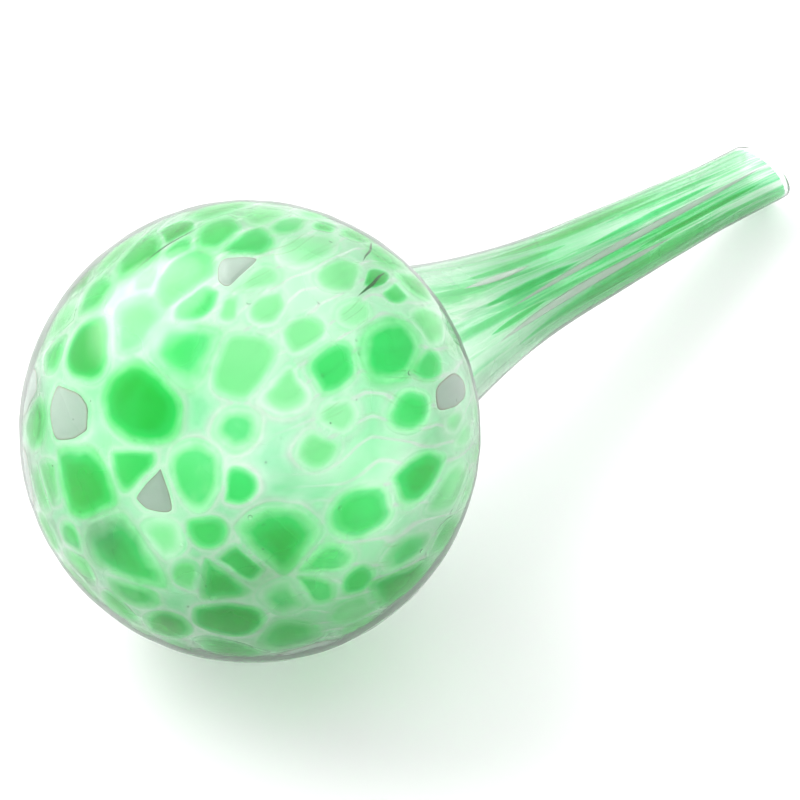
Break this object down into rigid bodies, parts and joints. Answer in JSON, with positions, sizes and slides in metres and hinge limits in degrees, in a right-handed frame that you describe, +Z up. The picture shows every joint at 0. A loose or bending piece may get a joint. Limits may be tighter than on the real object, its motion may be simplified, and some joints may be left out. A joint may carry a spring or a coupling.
{
  "type": "watering globe",
  "caption": "Hand-blown glass watering globe: a hollow mottled green globe on a tapering hollow stem with a slanted open tip, pushed into the soil of a potted plant to water it slowly.",
  "frame": {"origin": "on the stem's axis at the soil line, with the globe above it and the stem's lower end below it", "axes": "+Z up along the axis, from the tip to the crown of the globe; the longest lip of the tip faces between -X and +Y"},
  "size_m": [0.064, 0.064, 0.168],
  "materials": {
    "clear_glass": "clear, fire polished",
    "emerald_glass": "deep green, fire polished",
    "leaf_green_glass": "middle green, fire polished",
    "mint_glass": "pale green, fire polished",
    "white_glass": "opaque white, fire polished"
  },
  "bodies": {
    "root": {"globe": "clear_glass", "stem": "clear_glass", "emerald_chips": "emerald_glass", "leaf_green_chips": "leaf_green_glass", "mint_chips": "mint_glass", "white_chips": "white_glass", "emerald_streaks": "emerald_glass", "mint_streaks": "mint_glass", "white_streaks": "white_glass"}
  },
  "joints": []
}
